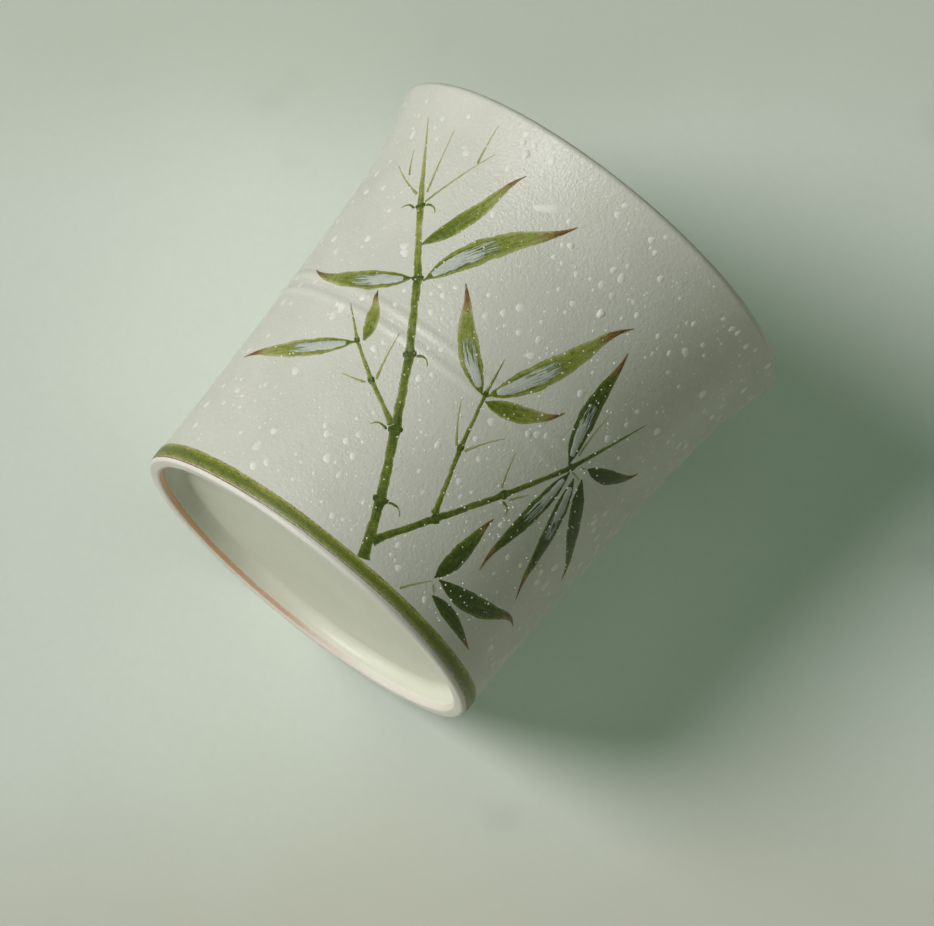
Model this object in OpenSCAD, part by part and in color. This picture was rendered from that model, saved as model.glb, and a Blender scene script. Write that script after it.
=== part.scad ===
/* [Cup] */
// Height of the cup, from the table to the lip
cup_h = 68; // [60:1:76]
// Outer diameter just above the foot
foot_d = 58.1; // [54:0.1:62]
// Outer diameter that the mouth flares to
mouth_d = 69.7; // [67:0.1:74]
// How far the lip turns out past the plain line of the wall
lip_flare = 2.35; // [1.5:0.05:3]
// Height over which the lip turns out
flare_h = 18; // [14:0.5:22]
// Thickness of the finished wall just above the floor
wall_base_t = 2.8; // [2.4:0.1:3.4]
// Thickness of the finished wall at the lip
lip_t = 1.6; // [1.3:0.1:2]

/* [Floor and foot] */
// Thickness of the finished floor
floor_t = 3; // [2.4:0.1:4]
// Radius of the bend between the floor and the wall, inside
inner_bend_r = 7; // [5:0.5:10]
// Depth of the recess under the floor
recess_depth = 3.4; // [2.8:0.1:4.2]
// Radius of the bend between the recess and the foot ring
recess_bend_r = 2; // [1.2:0.1:2.2]
// Width of the flat face of the foot ring, which meets the table
ring_w = 0.95; // [0.8:0.05:1.2]
// Radius of the round on the outer edge of the foot ring, left bare of glaze
foot_round = 0.6; // [0.45:0.05:0.85]
// Radius of the round on the inner edge of the foot ring, left bare of glaze
ring_edge = 0.7; // [0.5:0.05:0.8]

/* [Ridge round the waist] */
// Height of the middle of the double ridge
ridge_z = 33.1; // [30:0.1:36]
// Distance between the crests of its two ridges
ridge_pitch = 2.7; // [2.3:0.1:3]
// Height over which one ridge swells and falls
ridge_h = 2.2; // [1.6:0.1:2.3]
// How far the ridges stand out of the wall
ridge_rise = 0.22; // [0.12:0.01:0.4]

/* [Glaze and enamel] */
// Thickness of the glaze coats
glaze_t = 0.2; // [0.14:0.01:0.26]
// Thickness of the green and brown enamel
enamel_t = 0.12; // [0.08:0.01:0.16]
// Thickness of the pale strokes laid over the leaves
light_t = 0.06; // [0.04:0.01:0.09]
// Height of the brown line under the green band
line_h = 0.28; // [0.2:0.01:0.4]
// Height of the green band
band_h = 2.2; // [1.8:0.05:2.6]
// Height of the brown iron line inside the foot ring
iron_h = 0.5; // [0.35:0.05:0.6]

/* [Bamboo] */
// Width of the main culm at its root
culm_w = 1.9; // [1.5:0.05:2.2]
// Width of the side culm at its root
side_w = 1.35; // [1.1:0.05:1.6]
// Width of the two shoots at their roots
shoot_w = 1; // [0.8:0.05:1.2]
// Gap left between the strokes of a culm, where a joint stroke lies
joint_gap = 0.95; // [0.85:0.05:1.1]
// Height of a joint stroke
joint_h = 0.6; // [0.4:0.05:0.65]
// Width of a hook beside a joint
hook_w = 0.5; // [0.4:0.05:0.6]
// Width of a twig where it leaves the culm
twig_w = 0.5; // [0.4:0.05:0.6]
// Width that each fine stroke ends in
fine_w = 0.16; // [0.12:0.01:0.2]
// Greatest width of a leaf
leaf_w = 4; // [3.4:0.05:4.2]
// Width of a leaf where it leaves its stem
stem_w = 0.4; // [0.3:0.05:0.5]

/* [Hidden] */

// Facets of a full circle where only the preview needs them: the solids are true rounds
round_fn = 96;

// Power of the curve by which the wall opens upwards, and of the curve of its lip
wall_power = 1.8;
flare_power = 2.4;
// Widening of the plain wall from the foot to the lip
wall_rise = (mouth_d - foot_d) / 2 - lip_flare;
foot_r = foot_d / 2;

// Radius of the wall without its double ridge, at a height
function lip_turn(z) = pow(max(0, z - cup_h + flare_h) / flare_h, flare_power);
function plain_r(z) = foot_r + wall_rise * pow(z / cup_h, wall_power) + lip_flare * lip_turn(z);
// Swelling of one ridge, from 0 at its ends to 1 at its crest
function crest(off) = abs(off) < ridge_h / 2 ? (1 + cos(360 * off / ridge_h)) / 2 : 0;
function swell(z) =
    ridge_rise * (crest(z - ridge_z - ridge_pitch / 2) + crest(z - ridge_z + ridge_pitch / 2));
// Radius of the finished wall at a height
function wall_r(z) = plain_r(z) + swell(z);

// Lean of the wall at a height, in degrees, taken over a short rise, and the way out of it
slope_step_share = 0.001;
slope_step = cup_h * slope_step_share;
function lean(z) = atan((plain_r(z + slope_step) - plain_r(z)) / slope_step);
function way_out(z) = [cos(lean(z)), -sin(lean(z))];

// Steps taken along each stretch of the outlines
lower_n = 6;
ridge_n = 16;
upper_n = 4;
flare_n = 12;
inner_n = 8;
bend_n = 8;
lip_half_n = 6;
foot_n = 6;
edge_n = 3;

// Heights at which the outside of the wall has a point
bare_h = foot_round;
line_top = bare_h + line_h;
band_top = line_top + band_h;
lip_r = lip_t / 2;
lip_z = cup_h - lip_r * (1 + sin(lean(cup_h)));
ridge_low = ridge_z - (ridge_pitch + ridge_h) / 2;
ridge_top = ridge_z + (ridge_pitch + ridge_h) / 2;
function steps(low, high, n) = [for (i = [1:n]) low + (high - low) * i / n];
wall_zs = concat(
    [bare_h, line_top, band_top],
    steps(band_top, ridge_low, lower_n),
    steps(ridge_low, ridge_top, ridge_n),
    steps(ridge_top, cup_h - flare_h, upper_n),
    steps(cup_h - flare_h, lip_z, flare_n)
);

// Points on an arc round a centre, between two angles
function arc(centre, r, from, to, n) =
    [for (i = [0:n]) centre + r * [cos(from + (to - from) * i / n), sin(from + (to - from) * i / n)]];
function reversed(points) = [for (i = [len(points) - 1:-1:0]) points[i]];

// Outside of the wall, sunk by a depth, and the round of the lip over it
function outside(depth, zs) = [for (z = zs) [wall_r(z), z] - depth * way_out(z)];
lip_lean = lean(lip_z);
lip_centre = [plain_r(lip_z), lip_z] - lip_r * way_out(lip_z);
lip_step = (90 - lip_lean) / lip_half_n;

// Inside of the wall: the wall thins evenly from the bend above the floor to the lip
floor_z = recess_depth + floor_t;
bend_lean = lean(floor_z + inner_bend_r);
bend_z = floor_z + inner_bend_r - (wall_base_t + inner_bend_r) * sin(bend_lean);
inner_zs = concat(
    [bend_z],
    steps(bend_z, cup_h - flare_h, inner_n),
    steps(cup_h - flare_h, lip_z, flare_n)
);
function wall_t(z) = wall_base_t + (lip_t - wall_base_t) * (z - bend_z) / (lip_z - bend_z);
function inside(depth) = [for (z = inner_zs) [plain_r(z), z] - (wall_t(z) - depth) * way_out(z)];
bend_centre = [plain_r(bend_z), bend_z] - (wall_base_t + inner_bend_r) * way_out(bend_z);
function inner_bend(depth) = arc(bend_centre, inner_bend_r + depth, -lean(bend_z), -90, bend_n);
function floor_at(depth) = [0, bend_centre[1] - inner_bend_r - depth];

// Foot ring and the recess inside it
ring_out_r = foot_r - foot_round;
ring_in_r = ring_out_r - ring_w - ring_edge;
iron_top = ring_edge + iron_h;
// The recess bends only above the iron line
roof_bend_r = min(recess_bend_r, recess_depth - iron_top);
recess_centre = [ring_in_r - roof_bend_r, recess_depth - roof_bend_r];
function recess_bend(depth) = arc(recess_centre, roof_bend_r + depth, 90, 0, bend_n);

// Centre of the round on the outer edge of the foot
foot_round_centre = [wall_r(bare_h) - foot_round, foot_round];

// Porcelain body, sunk by one coat wherever glaze covers it
module cup_body() {
    color([0.90, 0.89, 0.84])
    rotate_extrude($fn = round_fn)
    polygon(concat(
        arc([ring_in_r + ring_edge, ring_edge], ring_edge, 180, 270, edge_n),
        arc(foot_round_centre, foot_round, -90, 0, foot_n),
        outside(glaze_t, wall_zs),
        arc(lip_centre, lip_r - glaze_t, -lip_lean, 90, lip_half_n),
        arc(lip_centre, lip_r - glaze_t, 90 + lip_step, 180 - lip_lean, lip_half_n - 1),
        reversed(inside(glaze_t)),
        inner_bend(glaze_t),
        [floor_at(glaze_t), [0, recess_depth + glaze_t]],
        recess_bend(glaze_t),
        [[ring_in_r + glaze_t, ring_edge]]
    ));
}

// Satin coat from the bare foot up to the top of the lip
module outer_glaze() {
    color([0.84, 0.84, 0.79])
    rotate_extrude($fn = round_fn)
    polygon(concat(
        outside(0, wall_zs),
        arc(lip_centre, lip_r, -lip_lean, 90, lip_half_n),
        arc(lip_centre, lip_r - glaze_t, 90, -lip_lean, lip_half_n),
        reversed(outside(glaze_t, wall_zs))
    ));
}

// Coat from the top of the lip down the wall and over the floor
module inner_glaze() {
    color([0.86, 0.87, 0.82])
    rotate_extrude($fn = round_fn)
    polygon(concat(
        arc(lip_centre, lip_r, 90, 180 - lip_lean, lip_half_n),
        reversed(inside(0)),
        inner_bend(0),
        [floor_at(0), floor_at(glaze_t)],
        reversed(inner_bend(glaze_t)),
        inside(glaze_t),
        arc(lip_centre, lip_r - glaze_t, 180 - lip_lean, 90, lip_half_n)
    ));
}

// Celadon coat on the roof and the wall of the recess
module base_glaze() {
    color([0.75, 0.77, 0.67])
    rotate_extrude($fn = round_fn)
    polygon(concat(
        [[0, recess_depth]],
        recess_bend(0),
        [[ring_in_r, iron_top], [ring_in_r + glaze_t, iron_top]],
        reversed(recess_bend(glaze_t)),
        [[0, recess_depth + glaze_t]]
    ));
}

// A coat on the outside of the wall between two heights and two distances out of the wall
function zs_near(low, high) = [
    for (i = [0:len(wall_zs) - 1])
        if (wall_zs[min(i + 1, len(wall_zs) - 1)] > low && wall_zs[max(i - 1, 0)] < high) wall_zs[i]
];
module coat(zs, near, far) {
    rotate_extrude($fn = round_fn)
    polygon(concat(outside(-far, zs), reversed(outside(-near, zs))));
}

module foot_band() {
    color([0.36, 0.43, 0.17])
    coat([line_top, band_top], 0, enamel_t);
}

module band_line() {
    color([0.42, 0.33, 0.20])
    coat([bare_h, line_top], 0, enamel_t);
}

module iron_line() {
    color([0.56, 0.42, 0.31])
    rotate_extrude($fn = round_fn)
    translate([ring_in_r, ring_edge])
    square([glaze_t, iron_h]);
}

// Brush strokes. A place on the wall is its turn from the front in degrees, to the right, and its
// height as a share of the cup's. A stroke is drawn flat, facing the turn halfway along it, and
// is pressed straight in on the wall there.
function flat_place(place, face) =
    [wall_r(place[1] * cup_h) * sin(place[0] - face), place[1] * cup_h];
function face_of(from, to) = (from[0] + to[0]) / 2;

// Middle line of a stroke from a to b: bow bends it evenly and curl bends only its end
curl_from_share = 0.75;
function curl_part(s) = pow(max(0, s - curl_from_share) / (1 - curl_from_share), 2);
function square_to(v) = [-v[1], v[0]];
function middle(a, b, bow, curl, s) =
    a + (b - a) * s + square_to(b - a) * (4 * bow * s * (1 - s) + curl * curl_part(s));
near_share = 0.01;
function side_way(a, b, bow, curl, s) =
    let (step = middle(a, b, bow, curl, s + near_share) - middle(a, b, bow, curl, s - near_share))
    square_to(step) / norm(step);
// Outline of a stroke between two shares of its length, with a half width at each station
function ribbon(a, b, bow, curl, shares, halves) = concat(
    [for (i = [0:len(shares) - 1])
        middle(a, b, bow, curl, shares[i]) - halves[i] * side_way(a, b, bow, curl, shares[i])],
    [for (i = [len(shares) - 1:-1:0])
        middle(a, b, bow, curl, shares[i]) + halves[i] * side_way(a, b, bow, curl, shares[i])]
);

// Presses a flat shape in on the wall, as a coat between two distances out of it: the shape is made
// into a prism that starts well inside the cup and ends outside it
press_from = foot_r / 2;
press_deep = mouth_d / 2;
module pressed(face, low, high, near = 0, far = enamel_t) {
    intersection() {
        coat(zs_near(low, high), near, far);
        rotate([0, 0, face])
        rotate([90, 0, 0])
        translate([0, 0, press_from])
        linear_extrude(press_deep)
        children();
    }
}

// One stroke of a culm between two joints, trimmed to leave their gaps, a little wider at its ends
internode_shares = [0, 0.12, 0.5, 0.88, 1];
internode_wide_shares = [1.12, 0.96, 0.9, 0.96, 1.12];
module internode(from, to, w0, w1) {
    face = face_of(from, to);
    a = flat_place(from, face);
    b = flat_place(to, face);
    way = (b - a) / norm(b - a);
    halves = [for (i = [0:len(internode_shares) - 1])
        (w0 + (w1 - w0) * internode_shares[i]) * internode_wide_shares[i] / 2];
    pressed(face, min(a[1], b[1]), max(a[1], b[1]))
    polygon(ribbon(a + way * joint_gap / 2, b - way * joint_gap / 2, 0, 0, internode_shares, halves));
}

// Last stroke of a culm or shoot, drawn out to a fine end
taper_shares = [0, 0.3, 0.6, 1];
module tapering(from, to, w, bow, gap) {
    face = face_of(from, to);
    a = flat_place(from, face);
    b = flat_place(to, face);
    way = (b - a) / norm(b - a);
    halves = [for (s = taper_shares) (w + (fine_w - w) * s) / 2];
    pressed(face, min(a[1], b[1]) - w, max(a[1], b[1]) + w)
    polygon(ribbon(a + way * gap, b, bow, 0, taper_shares, halves));
}

// A culm: its joints, its width at the root and at its last joint, and its end
module culm(joints, end, w0, w1) {
    last = len(joints) - 1;
    for (i = [0:last - 1])
        internode(joints[i], joints[i + 1], w0 + (w1 - w0) * i / last, w0 + (w1 - w0) * (i + 1) / last);
    tapering(joints[last], end, w1, 0, joint_gap / 2);
}

// Places of the joints and the end of each culm and shoot: turn in degrees, share of the height
main_place_shares = [[7, 0.055], [1, 0.165], [-8, 0.30], [-18, 0.445], [-30, 0.59], [-44, 0.73]];
main_end_share = [-62, 0.92];
side_place_shares = [[7, 0.10], [16, 0.21], [27, 0.345], [38, 0.49]];
side_end_share = [49, 0.68];
upright_place_shares = [[14.5, 0.228], [9, 0.355], [5, 0.475]];
upright_end_share = [3, 0.56];
left_place_shares = [[-11, 0.31], [-22, 0.355], [-33, 0.41]];
left_end_share = [-43, 0.475];
// Widths at the last joints, as shares of the width at the root
culm_thin_share = 0.68;
shoot_thin_share = 0.6;

module main_culm() {
    color([0.38, 0.46, 0.19])
    culm(main_place_shares, main_end_share, culm_w, culm_w * culm_thin_share);
}

module side_culm() {
    color([0.29, 0.37, 0.15])
    culm(side_place_shares, side_end_share, side_w, side_w * culm_thin_share);
}

module upright_shoot() {
    color([0.42, 0.49, 0.22])
    culm(upright_place_shares, upright_end_share, shoot_w, shoot_w * shoot_thin_share);
}

module left_shoot() {
    color([0.44, 0.50, 0.23])
    culm(left_place_shares, left_end_share, shoot_w, shoot_w * shoot_thin_share);
}

// A short stroke across a culm, in the gap at one of its joints, square to the culm there
joint_wide_share = 1.35;
joint_bow_share = 0.03;
joint_shares = [0, 0.25, 0.5, 0.75, 1];
joint_tall_shares = [0.45, 0.9, 1, 0.9, 0.45];
module joint_stroke(before, place, after, w) {
    face = place[0];
    run = flat_place(after, face) - flat_place(before, face);
    across = square_to(run) / norm(run) * w * joint_wide_share / 2;
    spot = flat_place(place, face);
    pressed(face, spot[1] - joint_h, spot[1] + joint_h)
    polygon(ribbon(
        spot + across, spot - across, joint_bow_share, 0, joint_shares,
        [for (s = joint_tall_shares) s * joint_h / 2]
    ));
}
module joint_row(joints, end, w0, w1) {
    last = len(joints) - 1;
    places = concat(joints, [end]);
    for (i = [1:last])
        joint_stroke(places[i - 1], places[i], places[i + 1], w0 + (w1 - w0) * i / last);
}

module culm_joints() {
    color([0.20, 0.27, 0.10]) {
        joint_row(main_place_shares, main_end_share, culm_w, culm_w * culm_thin_share);
        joint_row(side_place_shares, side_end_share, side_w, side_w * culm_thin_share);
        joint_row(upright_place_shares, upright_end_share, shoot_w, shoot_w * shoot_thin_share);
        joint_row(left_place_shares, left_end_share, shoot_w, shoot_w * shoot_thin_share);
    }
}

// Hooks: where each leaves its joint, where it ends and its bow
hook_shares = [
    [[3.6, 0.1738], [8, 0.163], 0.22],
    [[-10.5, 0.291], [-14.6, 0.278], -0.22],
    [[-15.8, 0.454], [-12, 0.446], 0.25],
    [[-42.2, 0.7395], [-38.3, 0.728], 0.22],
    [[-45.9, 0.721], [-49.8, 0.707], -0.22],
    [[28.7, 0.3355], [31.6, 0.317], 0.22]
];

module joint_hooks() {
    color([0.29, 0.36, 0.15])
    for (hook = hook_shares)
        tapering(hook[0], hook[1], hook_w, hook[2], 0);
}

// Twigs: where each leaves its culm and where it ends
twig_shares = [
    [[-43.2, 0.75], [-33, 0.90]],
    [[-36.3, 0.868], [-36.5, 0.955]],
    [[-45.3, 0.769], [-49, 0.91]],
    [[-48.4, 0.752], [-63, 0.80]],
    [[-55.5, 0.786], [-60.5, 0.845]],
    [[-21.3, 0.367], [-24, 0.475]],
    [[-23.3, 0.345], [-31, 0.335]],
    [[10.5, 0.36], [17, 0.435]],
    [[7.4, 0.358], [0.5, 0.44]],
    [[25.2, 0.356], [21.8, 0.43]],
    [[29.6, 0.348], [33.4, 0.385]],
    [[37.4, 0.525], [36.5, 0.64]],
    [[21, 0.055], [27.4, 0.114]],
    [[28, 0.108], [30, 0.094]],
    [[39.6, 0.487], [43.8, 0.4872]],
    [[40.5, 0.505], [43, 0.516]]
];

twig_bow_share = 0.03;
module twigs() {
    color([0.55, 0.58, 0.28])
    for (twig = twig_shares)
        tapering(twig[0], twig[1], twig_w, twig_bow_share, 0);
}

// Leaves: foot, point, bow, curl of the point, and width as a share of the widest leaf's
crown_shares = [
    [[-27.8, 0.60], [-2, 0.86], 0.07, 0.05, 1],
    [[-32.2, 0.581], [-66, 0.505], 0.08, -0.05, 0.85],
    [[-35.2, 0.661], [-24, 0.90], -0.05, -0.06, 0.7]
];
middle_shares = [
    [[6.2, 0.482], [22, 0.80], -0.05, -0.07, 1],
    [[3.7, 0.474], [-17, 0.645], 0.08, 0.05, 0.85],
    [[6.7, 0.465], [26, 0.555], -0.07, 0.05, 0.7]
];
hanging_shares = [
    [[38.8, 0.475], [34.5, 0.20], 0.03, 0.06, 0.74],
    [[41.8, 0.474], [54, 0.215], 0.03, 0.06, 0.74],
    [[44.5, 0.488], [72, 0.345], -0.06, -0.06, 0.72],
    [[36.4, 0.498], [29.5, 0.75], 0.07, 0.05, 0.85],
    [[43.6, 0.518], [62, 0.60], -0.06, 0.05, 0.6]
];
left_shares = [
    [[-34.3, 0.402], [-72, 0.29], 0.07, 0.04, 0.8],
    [[-31.6, 0.421], [-38.6, 0.525], -0.07, -0.04, 0.55]
];
low_shares = [
    [[27.1, 0.124], [28.5, 0.298], -0.04, -0.05, 0.75],
    [[29.6, 0.124], [64, 0.215], -0.07, -0.12, 0.8],
    [[30.6, 0.09], [54, 0.07], 0.03, 0.02, 0.5]
];

// Share of the leaf's length at which its brown tip starts, and the gap before it
tip_share = 0.86;
tip_gap_share = 0.005;
leaf_n = 7;
tip_n = 4;
// Powers that set where a leaf is fullest and how fast it narrows to its point, and its fullness
leaf_full_power = 0.75;
leaf_point_power = 0.25;
leaf_full_share = 1.15;
function leaf_full(s) =
    sin(180 * pow(s, leaf_full_power)) * pow(1 - s, leaf_point_power) * leaf_full_share;
// Half width of a leaf along its length: fullest at two fifths, drawn out to its point
function leaf_half(s, wide_share) =
    (stem_w + (fine_w - stem_w) * s) / 2
    + (leaf_w - stem_w) / 2 * wide_share * leaf_full(s);
module leaf_piece(leaf, from_share, to_share, n, near = 0, far = enamel_t, slim_share = 1) {
    face = face_of(leaf[0], leaf[1]);
    a = flat_place(leaf[0], face);
    b = flat_place(leaf[1], face);
    shares = [for (i = [0:n]) from_share + (to_share - from_share) * i / n];
    halves = [for (s = shares) leaf_half(s, leaf[4]) * slim_share];
    pressed(face, min(a[1], b[1]) - leaf_w, max(a[1], b[1]) + leaf_w, near, far)
    polygon(ribbon(a, b, leaf[2], leaf[3], shares, halves));
}
module leaves(leaf_shares) {
    for (leaf = leaf_shares)
        leaf_piece(leaf, 0, tip_share, leaf_n);
}

module crown_leaves() {
    color([0.36, 0.45, 0.16])
    leaves(crown_shares);
}

module middle_leaves() {
    color([0.42, 0.50, 0.18])
    leaves(middle_shares);
}

module hanging_leaves() {
    color([0.24, 0.32, 0.13])
    leaves(hanging_shares);
}

module left_leaves() {
    color([0.44, 0.52, 0.19])
    leaves(left_shares);
}

module low_leaves() {
    color([0.24, 0.30, 0.10])
    leaves(low_shares);
}

// Brown-red points of all the leaves
module leaf_tips() {
    color([0.45, 0.30, 0.20])
    for (leaf = concat(crown_shares, middle_shares, hanging_shares, left_shares, low_shares))
        leaf_piece(leaf, tip_share + tip_gap_share, 1, tip_n);
}

// Pale strokes over the feet of the fuller leaves, on top of their enamel
light_from_share = 0.06;
light_to_share = 0.42;
light_slim_share = 0.6;
light_n = 4;
lit_shares = [
    crown_shares[0], crown_shares[1], middle_shares[0], middle_shares[1],
    hanging_shares[0], hanging_shares[1], hanging_shares[3], left_shares[0]
];
module leaf_lights() {
    color([0.68, 0.74, 0.70])
    for (leaf = lit_shares)
        leaf_piece(
            leaf, light_from_share, light_to_share, light_n,
            enamel_t, enamel_t + light_t, light_slim_share
        );
}

cup_body();
outer_glaze();
inner_glaze();
base_glaze();
foot_band();
band_line();
iron_line();
main_culm();
side_culm();
upright_shoot();
left_shoot();
culm_joints();
joint_hooks();
twigs();
crown_leaves();
middle_leaves();
hanging_leaves();
left_leaves();
low_leaves();
leaf_tips();
leaf_lights();
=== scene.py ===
"""Looks of the bamboo cup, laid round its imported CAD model.

Lengths are in millimetres until a mesh is made from them. A turn is in degrees from the front (-Y)
and grows towards +X.
"""

import math
import random

import bpy
import numpy as np
from mathutils import Matrix, Vector


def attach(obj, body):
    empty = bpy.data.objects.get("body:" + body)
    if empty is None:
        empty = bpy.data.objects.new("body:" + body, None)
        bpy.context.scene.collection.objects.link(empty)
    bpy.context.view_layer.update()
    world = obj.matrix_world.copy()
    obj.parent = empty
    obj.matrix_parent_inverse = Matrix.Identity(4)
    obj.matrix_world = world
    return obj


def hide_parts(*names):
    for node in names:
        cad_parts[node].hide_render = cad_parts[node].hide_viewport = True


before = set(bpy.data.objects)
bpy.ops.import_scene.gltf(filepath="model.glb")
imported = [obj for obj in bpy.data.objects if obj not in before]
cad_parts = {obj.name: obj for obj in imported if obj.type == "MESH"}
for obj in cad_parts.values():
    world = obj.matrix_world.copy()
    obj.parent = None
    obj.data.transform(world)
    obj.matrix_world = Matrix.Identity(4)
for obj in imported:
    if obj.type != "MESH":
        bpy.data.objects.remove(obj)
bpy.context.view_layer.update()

MM = 0.001
scene = bpy.context.scene

# Sizes of the cup, the same as in the CAD source
CUP_H, FOOT_R, MOUTH_R = 68.0, 29.05, 34.85
LIP_FLARE, FLARE_H, WALL_POWER, FLARE_POWER = 2.35, 18.0, 1.8, 2.4
WALL_BASE_T, LIP_T, FLOOR_T, INNER_BEND_R = 2.8, 1.6, 3.0, 7.0
RECESS_DEPTH, RECESS_BEND_R, RING_W, FOOT_ROUND, RING_EDGE = 3.4, 2.0, 0.95, 0.6, 0.7
RIDGE_Z, RIDGE_PITCH, RIDGE_H, RIDGE_RISE = 33.1, 2.7, 2.2, 0.22
GLAZE_T, ENAMEL_T, LIGHT_T = 0.2, 0.12, 0.06
LINE_H, BAND_H, IRON_H = 0.28, 2.2, 0.5
WALL_RISE = MOUTH_R - FOOT_R - LIP_FLARE
LINE_TOP = FOOT_ROUND + LINE_H
BAND_TOP = LINE_TOP + BAND_H
RING_OUT_R = FOOT_R - FOOT_ROUND
RING_IN_R = RING_OUT_R - RING_W - RING_EDGE


def plain_r(z):
    """The wall's outer radius at a height, without the double ridge."""
    z = np.asarray(z, float)
    lip = np.clip((z - CUP_H + FLARE_H) / FLARE_H, 0, None) ** FLARE_POWER
    return FOOT_R + WALL_RISE * (np.clip(z, 0, None) / CUP_H) ** WALL_POWER + LIP_FLARE * lip


def crest(off):
    """A single ridge, 1 high, by the height above its middle."""
    return np.where(np.abs(off) < RIDGE_H / 2, (1 + np.cos(2 * np.pi * off / RIDGE_H)) / 2, 0)


def swell(z):
    """How far the double ridge stands out at a height."""
    half = RIDGE_PITCH / 2
    return RIDGE_RISE * (crest(z - RIDGE_Z - half) + crest(z - RIDGE_Z + half))


def wall_r(z):
    z = np.asarray(z, float)
    return plain_r(z) + swell(z)


def lean(z):
    """The wall's angle from upright at a height, in radians."""
    step = CUP_H / 1000
    return np.arctan((plain_r(z + step) - plain_r(z)) / step)


LIP_R = LIP_T / 2
LIP_Z = float(CUP_H - LIP_R * (1 + math.sin(lean(CUP_H))))
LIP_LEAN = float(lean(LIP_Z))
LIP_CENTRE = np.array([
    float(plain_r(LIP_Z)) - LIP_R * math.cos(LIP_LEAN),
    LIP_Z + LIP_R * math.sin(LIP_LEAN),
])
FLOOR_Z = RECESS_DEPTH + FLOOR_T
BEND_LEAN = float(lean(FLOOR_Z + INNER_BEND_R))
BEND_Z = FLOOR_Z + INNER_BEND_R - (WALL_BASE_T + INNER_BEND_R) * math.sin(BEND_LEAN)

# The wall's unevenness: its depth, how far from the foot and the lip it starts, and where it is full
THROWN_DEPTH = 0.035
FOOT_CALM, FOOT_FULL, LIP_CALM, LIP_FULL = 2, 10, 4, 14
# The share of the double ridge that is worn away at a turn, most on the right as in the photograph
WORN = ((-180, 0.25), (-60, 0.2), (-5, 0.42), (35, 0.85), (125, 0.88), (175, 0.25))


def along_table(turn, table):
    """The value at a turn of a table of (turn, value) pairs."""
    return np.interp(turn, *zip(*table))


def hand(turn, z):
    """Slight unevenness of a hand-thrown wall, gone at the foot and the lip, less the ridge's wear."""
    t = np.radians(turn)
    up = np.clip((z - FOOT_CALM) / (FOOT_FULL - FOOT_CALM), 0, 1)
    down = np.clip((CUP_H - LIP_CALM - z) / (LIP_FULL - LIP_CALM), 0, 1)
    waves = np.sin(2 * t + 0.06 * z + 0.7)
    waves = waves + 0.6 * np.sin(3 * t - 0.11 * z + 2.1) + 0.4 * np.sin(0.45 * z + t)
    return THROWN_DEPTH * (up * down) * waves - along_table(turn, WORN) * swell(z)


def skin(turn, z, out):
    """Points at a turn in degrees from the front and a height on the wall, so far out of it."""
    turn, z, out = np.broadcast_arrays(*(np.asarray(v, float) for v in (turn, z, out)))
    tilt = lean(z)
    r = wall_r(z) + hand(turn, z) + out * np.cos(tilt)
    t = np.radians(turn)
    return np.stack([r * np.sin(t), -r * np.cos(t), z - out * np.sin(tilt)], -1)


def wave(x, seed):
    """A smooth seeded wander of about -1 to 1, whose longest wave is about 6 units."""
    draw = random.Random(seed)
    total, size, share = 0, 0, 1.0
    for step in range(4):
        pace = (1.0 + 0.25 * draw.random()) * 1.9 ** step
        total = total + share * np.sin(pace * np.asarray(x, float) + 2 * np.pi * draw.random())
        size += share
        share *= 0.55
    return total / size * 1.4


def turns_round(cols):
    """The turns of so many columns of points round the cup."""
    return np.arange(cols) * 360 / cols - 180


# Meshes

SHARP_DEGREES = 38
ON_AXIS = 1e-6


def add_object(name, data):
    made = bpy.data.objects.new(name, data)
    scene.collection.objects.link(made)
    return made


def make_piece(name, verts, faces, material, nodes, data=None):
    """One closed piece from points in millimetres. data holds numbers at them for its material."""
    mesh = bpy.data.meshes.new(name)
    mesh.from_pydata((np.asarray(verts) * MM).tolist(), [], faces)
    for key, values in (data or {}).items():
        values = np.asarray(values, np.float32)
        kind = "FLOAT_VECTOR" if values.ndim == 2 else "FLOAT"
        layer = mesh.attributes.new(key, kind, "POINT")
        layer.data.foreach_set("vector" if values.ndim == 2 else "value", values.ravel())
    mesh.shade_smooth()
    mesh.set_sharp_from_angle(angle=math.radians(SHARP_DEGREES))
    mesh.update()
    piece = add_object(name, mesh)
    mesh.materials.append(material)
    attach(piece, "root")
    if nodes:
        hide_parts(*nodes)
    return piece


def ring_faces(rows, cols, flip=False):
    """Faces of a closed tube of so many rows of points, each row once round."""
    i, j = np.meshgrid(np.arange(rows), np.arange(cols), indexing="ij")
    a = i * cols + j
    b = ((i + 1) % rows) * cols + j
    c = ((i + 1) % rows) * cols + (j + 1) % cols
    d = i * cols + (j + 1) % cols
    return np.stack([a, b, c, d] if flip else [a, d, c, b], -1).reshape(-1, 4).tolist()


def revolve(name, outline, cols, material, nodes, uneven=False):
    """A closed outline of (radius, height) points turned round the axis, on which points are merged."""
    outline = np.asarray(outline, float)
    turns = turns_round(cols)
    r, z = outline[:, :1], outline[:, 1:]
    if uneven:
        r = r + hand(turns, z)
    t = np.radians(turns)
    points = np.stack([r * np.sin(t), -r * np.cos(t), z + 0 * t], -1)
    verts, index = [], np.zeros(points.shape[:2], int)
    for row in range(len(outline)):
        if outline[row, 0] < ON_AXIS:
            index[row] = len(verts)
            verts.append(points[row, 0])
        else:
            index[row] = len(verts) + np.arange(cols)
            verts.extend(points[row])
    faces = []
    for row in range(len(outline)):
        here, there = index[row], index[(row + 1) % len(outline)]
        for col in range(cols):
            after = (col + 1) % cols
            corners = [here[col], here[after], there[after], there[col]]
            corners = [c for k, c in enumerate(corners) if c != corners[k - 1]]
            if len(corners) > 2:
                faces.append([int(c) for c in corners])
    make_piece(name, verts, faces, material, nodes)


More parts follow.
